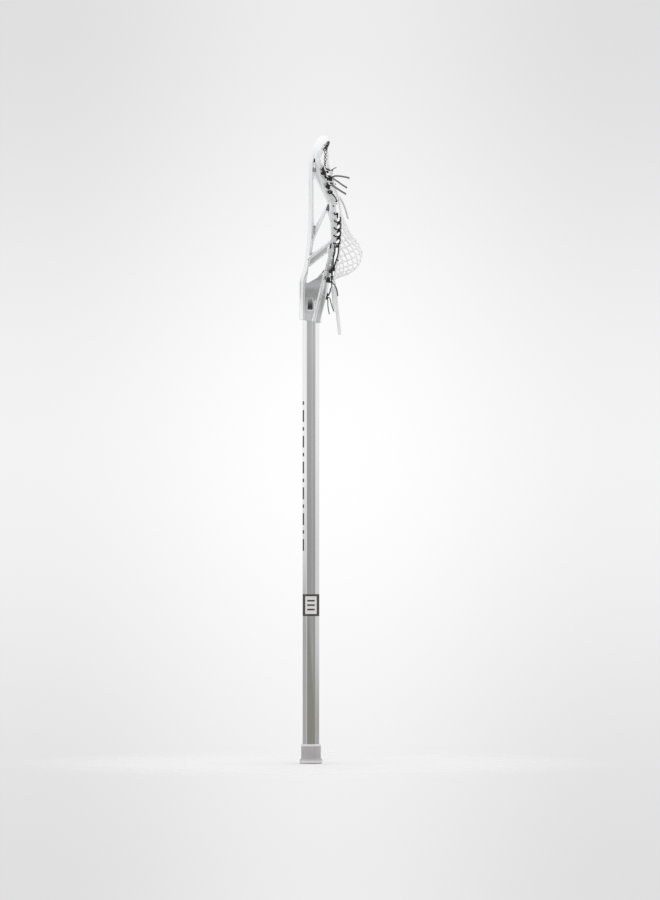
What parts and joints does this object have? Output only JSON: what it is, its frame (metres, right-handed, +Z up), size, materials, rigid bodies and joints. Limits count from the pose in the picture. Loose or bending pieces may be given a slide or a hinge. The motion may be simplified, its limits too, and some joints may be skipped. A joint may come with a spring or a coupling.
{
  "type": "lacrosse stick",
  "caption": "Field lacrosse stick: white open-sidewall head with a strung mesh pocket on an octagonal aluminium shaft with a rubber butt cap.",
  "frame": {"origin": "middle of the butt cap's flat lower face, on the shaft's axis", "axes": "+Z up along the shaft to the scoop, -Y out of the open face of the head, +Y towards the pocket, X across the head"},
  "size_m": [0.1905, 0.1024, 1.0222],
  "materials": {
    "shaft_aluminium": "bright anodised, printed with plain marks",
    "cap_rubber": "matte grey rubber",
    "head_plastic": "white moulded nylon, pearl gloss",
    "screw_steel": "zinc plated",
    "stop_foam": "closed-cell foam, matte",
    "pocket_cord": "knitted white polyester mesh",
    "dark_string": "braided nylon string, black",
    "grey_lace": "woven lace, dark grey",
    "pale_lace": "woven lace, pale grey",
    "white_lace": "flat woven lace, white"
  },
  "bodies": {
    "stick": {"shaft": "shaft_aluminium", "head_frame": "head_plastic", "ball_stop_pad": "stop_foam", "pocket_mesh": "pocket_cord", "top_string": "dark_string", "sidewall_string_right": "dark_string", "sidewall_string_left": "dark_string", "bottom_string": "dark_string", "shooting_string_1": "grey_lace", "shooting_string_2": "grey_lace", "shooting_string_3": "grey_lace", "shooting_tail_thin": "dark_string", "shooting_tail_upper": "grey_lace", "shooting_tail_middle": "grey_lace", "shooting_tail_lower": "grey_lace", "shooting_tail_left": "pale_lace", "throat_tail_curved": "dark_string", "throat_tail_front": "dark_string", "throat_tail_back": "dark_string", "throat_lace": "white_lace", "throat_lace_short": "white_lace"},
    "cap": {"butt_cap": "cap_rubber"},
    "screw": {"head_screw": "screw_steel"}
  },
  "joints": [
    {"name": "butt_cap_pull", "type": "slide", "parent": "stick", "child": "cap", "axis": [0, 0, -1], "range_m": [0, 0.03]},
    {"name": "head_screw_withdraw", "type": "slide", "parent": "stick", "child": "screw", "axis": [0, 1, 0], "range_m": [0, 0.014]}
  ]
}
